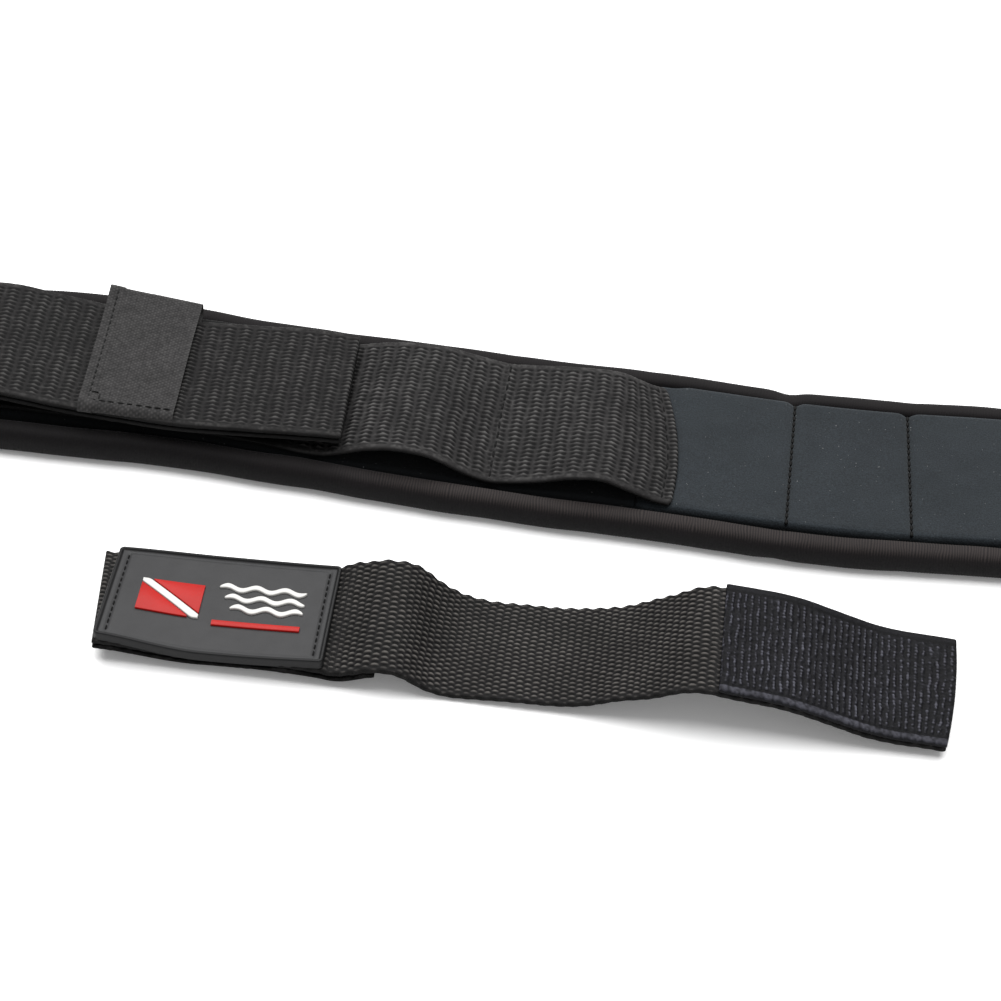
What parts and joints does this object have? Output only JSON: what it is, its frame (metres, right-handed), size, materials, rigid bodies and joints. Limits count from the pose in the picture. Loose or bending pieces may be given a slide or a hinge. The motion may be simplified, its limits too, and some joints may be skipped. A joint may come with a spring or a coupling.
{
  "type": "dive weight belt",
  "caption": "Quilted neoprene dive weight belt with bound edges, webbing weight pockets, cam-lever buckle and a loose hook-and-loop closing strap.",
  "frame": {"origin": "on the pad's flat back face, on its centre line, at the end of the pocket webbing", "axes": "+X along the belt away from the buckle, +Y to the wearer's upper edge, +Z out of the front face"},
  "size_m": [0.7283, 0.1418, 0.0186],
  "materials": {
    "neoprene": "fine knit face on neoprene",
    "neoprene_back": "knit face on neoprene, wearer's side",
    "binding": "ribbed satin knit binding",
    "webbing": "coarse woven polypropylene webbing",
    "keeper_cloth": "plain woven cloth",
    "thread": "twisted polyester thread",
    "hook_tape": "hook fastener, ribbed",
    "loop_tape": "loop fastener, brushed",
    "shot": "packed metal shot",
    "steel": "brushed stainless",
    "badge_rubber": "satin moulded rubber",
    "emblem_red": "satin moulded rubber",
    "emblem_white": "satin moulded rubber"
  },
  "bodies": {
    "pad": {"front_panel": "neoprene", "back_panel": "neoprene_back", "shot_pouches": "shot", "upper_binding": "binding", "lower_binding": "binding", "left_end_binding": "binding", "quilting_thread": "thread", "pocket_webbing": "webbing", "pocket_thread": "thread", "seam_tape": "webbing", "buckle_strap": "webbing", "buckle_strap_thread": "thread"},
    "right_wing": {"wing_front_panel": "neoprene", "wing_back_panel": "neoprene_back", "wing_shot_pouches": "shot", "wing_upper_binding": "binding", "wing_lower_binding": "binding", "right_end_binding": "binding", "wing_quilting_thread": "thread", "tongue_webbing": "webbing", "tongue_thread": "thread"},
    "strap_keeper": {"keeper": "keeper_cloth", "keeper_thread": "thread"},
    "tongue_band": {"tongue_keeper": "keeper_cloth"},
    "buckle": {"buckle_frame": "steel", "buckle_bar": "steel", "lever_pin": "steel"},
    "lever": {"cam_lever": "steel"},
    "closing_strap": {"strap_badge_end": "webbing", "loop_fastener": "loop_tape", "badge": "badge_rubber", "badge_emblem_red": "emblem_red", "badge_emblem_white": "emblem_white", "badge_thread": "thread"},
    "closing_strap_end": {"strap_hook_end": "webbing", "hook_patch": "hook_tape"}
  },
  "joints": [
    {"name": "wing_flex", "type": "hinge", "parent": "pad", "child": "right_wing", "pos_m": [0.1032, 0, 0.0047], "axis": [0, -1, 0], "range_deg": [-20, 30]},
    {"name": "buckle_swing", "type": "hinge", "parent": "pad", "child": "buckle", "pos_m": [-0.284, 0, 0.005], "axis": [0, 1, 0], "range_deg": [0, 60]},
    {"name": "lever_open", "type": "hinge", "parent": "buckle", "child": "lever", "pos_m": [-0.318, 0, 0.0095], "axis": [0, -1, 0], "range_deg": [0, 110]},
    {"name": "keeper_slide", "type": "slide", "parent": "pad", "child": "strap_keeper", "axis": [1, 0, 0], "range_m": [-0.018, 0.008]},
    {"name": "tongue_keeper_slide", "type": "slide", "parent": "right_wing", "child": "tongue_band", "axis": [1, 0, 0], "range_m": [-0.02, 0.018]},
    {"name": "closing_strap_lift", "type": "slide", "parent": "pad", "child": "closing_strap", "axis": [0, 0, 1], "range_m": [0, 0.06]},
    {"name": "closing_strap_fold", "type": "hinge", "parent": "closing_strap", "child": "closing_strap_end", "pos_m": [-0.03606, -0.08568, 0.0019], "axis": [0.0262, -0.9997, 0], "range_deg": [0, 100]}
  ]
}
